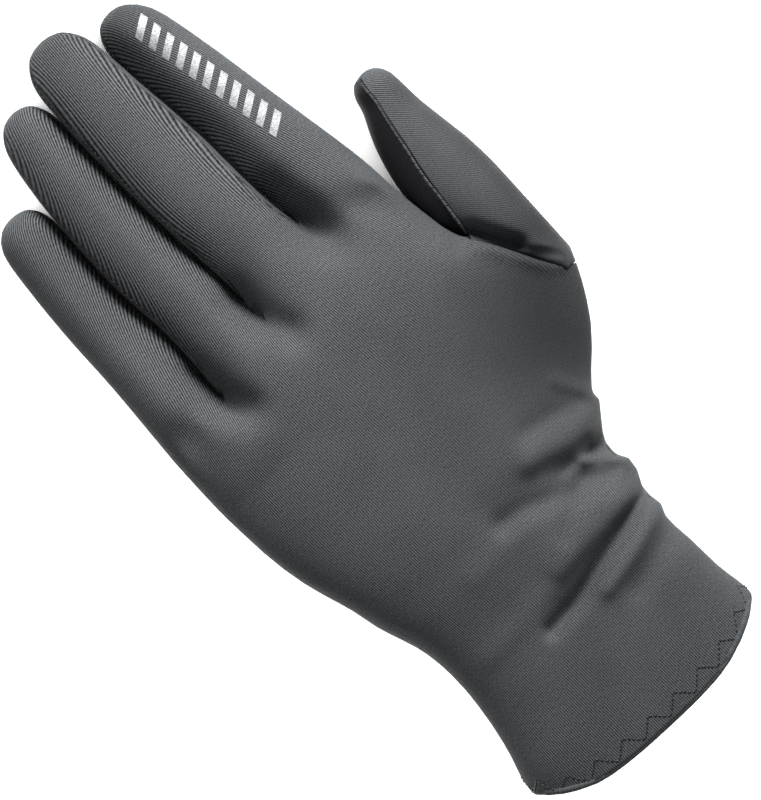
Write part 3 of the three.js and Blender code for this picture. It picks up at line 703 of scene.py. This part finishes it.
def zigzag_spot(leg_place):
    """A place on the zigzag, counted in legs."""
    leg = math.floor(leg_place)
    share = leg_place - leg
    rise = share if leg % 2 == 0 else 1 - share
    angle = np.interp(leg_place / legs * rounds[-1], rounds, ANGLES)
    edge = np.interp(angle, ANGLES, EDGES)
    return cuff_spot(angle, edge + ZIGZAG_LOW + (ZIGZAG_HIGH - ZIGZAG_LOW) * rise)


zigzag = []
for k in range(legs * LEG_STITCHES):
    spot, up = zigzag_spot((k + 0.5) / LEG_STITCHES)
    before = zigzag_spot((k + 0.2) / LEG_STITCHES)[0]
    after = zigzag_spot((k + 0.8) / LEG_STITCHES)[0]
    spot += up * ZIGZAG_LIFT * MM
    spot.z = max(spot.z, ABOVE_TABLE * MM)
    zigzag.append((spot, after - before, up))
hem_stitches = stitched("hem_zigzag_stitches", zigzag, *ZIGZAG_STITCH_SIZE)
hem_stitches.data.materials.append(thread)
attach(hem_stitches, "root")

# Print on the index finger. A plain row of slanted bars in silver transfer film, pressed on to
# the knit so that its ribs still show through.
PRINT_FROM = (26.2, 230.5)
PRINT_TO = (35.6, 187.6)
BARS = 11
BAR_SIZE = (6.2, 2.3)
BAR_SLANT = 0.42
ABOVE_FINGER = 40
FILM_GAP = 0.03
FILM_THICKNESS = 0.08
bpy.ops.object.select_all(action="DESELECT")
print_run = Vector(PRINT_TO) - Vector(PRINT_FROM)
print_turn = math.atan2(print_run.y, print_run.x) + math.pi / 2
bars = []
for i in range(BARS):
    x, y = Vector(PRINT_FROM) + print_run * i / (BARS - 1)
    bpy.ops.mesh.primitive_grid_add(x_subdivisions=14, y_subdivisions=5, size=1)
    bar = bpy.context.object
    for point in bar.data.vertices:
        aside = point.co.x * BAR_SIZE[0]
        flat = Vector((aside, point.co.y * BAR_SIZE[1] + aside * BAR_SLANT))
        flat.rotate(Matrix.Rotation(print_turn, 2))
        point.co = ((x + CUFF_MIDDLE[0] + flat.x) * MM,
                    (y + CUFF_MIDDLE[1] + flat.y) * MM,
                    ABOVE_FINGER * MM)
    bars.append(bar)
only(bars[0])
for bar in bars:
    bar.select_set(True)
bpy.ops.object.join()
silver_bars = bpy.context.object
silver_bars.name = "index_print_bars"
press = silver_bars.modifiers.new("press", "SHRINKWRAP")
press.target = back
press.wrap_method = "PROJECT"
press.use_project_z = True
press.use_negative_direction = True
press.use_positive_direction = False
press.offset = FILM_GAP * MM
bpy.ops.object.modifier_apply(modifier="press")
film = silver_bars.modifiers.new("film", "SOLIDIFY")
film.thickness = FILM_THICKNESS * MM
film.offset = 1
bpy.ops.object.modifier_apply(modifier="film")
bpy.ops.object.shade_smooth_by_angle(angle=math.radians(40))

# Silver transfer film: a thin polyurethane layer with fine aluminium flakes, half matt, worn
# thin in specks on the tops of the ribs
FLAKE_SPECK = 0.5
silver_film, shader = new_material("silver transfer film")
place = add_node(silver_film, "ShaderNodeTexCoord")
flakes = add_node(silver_film, "ShaderNodeTexNoise", {
    "Vector": place.outputs["Object"], "Scale": 1 / (FLAKE_SPECK * MM), "Detail": 3.0})
level = add_node(silver_film, "ShaderNodeMapRange", {0: flakes.outputs[0], 1: 0.35, 2: 0.6})
colour = add_node(silver_film, "ShaderNodeMix", {
    0: level.outputs[0], 6: linear("#86888a"), 7: linear("#b4b5b6")}, data_type="RGBA")
relief = add_node(silver_film, "ShaderNodeBump", {
    "Height": flakes.outputs[0], "Distance": 0.04 * MM, "Strength": 1.0})
silver_film.node_tree.links.new(colour.outputs[2], shader.inputs["Base Color"])
silver_film.node_tree.links.new(relief.outputs[0], shader.inputs["Normal"])
shader.inputs["Roughness"].default_value = 0.45
shader.inputs["Metallic"].default_value = 0.25
silver_bars.data.materials.append(silver_film)
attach(silver_bars, "root")

# Floor and light of the studio. White paper lies under its own large soft light, and a smaller
# soft light from above the thumb's side is for the glove alone. The paper throws no light back
# on the glove, so its edges stay dark against the white.
FLOOR_SIZE = 8
ROOM_LIGHT = 0.2
bpy.ops.object.select_all(action="DESELECT")
bpy.ops.mesh.primitive_plane_add(size=FLOOR_SIZE)
floor = bpy.context.object
floor.name = "floor"
paper, shader = new_material("white background paper")
shader.inputs["Base Color"].default_value = linear("#f4f4f4")
shader.inputs["Roughness"].default_value = 0.9
shader.inputs["Specular IOR Level"].default_value = 0.1
floor.data.materials.append(paper)
floor.visible_diffuse = False

world = bpy.data.worlds.new("studio")
bpy.context.scene.world = world
world.use_nodes = True
world.node_tree.nodes["Background"].inputs[0].default_value = (1, 1, 1, 1)
world.node_tree.nodes["Background"].inputs[1].default_value = ROOM_LIGHT


def softbox(name, place, size, watts, lit):
    """A round soft light, aimed at the glove, which lights only the things it is given."""
    data = bpy.data.lights.new(name, "AREA")
    data.shape = "DISK"
    data.size = size
    data.energy = watts
    lamp = bpy.data.objects.new(name, data)
    lamp.location = place
    lamp.rotation_euler = lamp.location.to_track_quat("Z", "Y").to_euler()
    bpy.context.collection.objects.link(lamp)
    own = bpy.data.collections.new(name + " lights")
    for thing in lit:
        own.objects.link(thing)
    lamp.light_linking.receiver_collection = own


glove = [palm, *fourchettes, back, thumb_inner, thumb_back, thumb_lip, thumb_stitches,
         finger_stitches, hem, cuff_fold, hem_stitches, silver_bars]
softbox("softbox on the glove", (0.64, 0.74, 0.66), 0.6, 21.5, glove)
softbox("softbox on the paper", (0, 0, 1.2), 2.4, 83, [floor])
bpy.context.scene.view_settings.view_transform = "Standard"
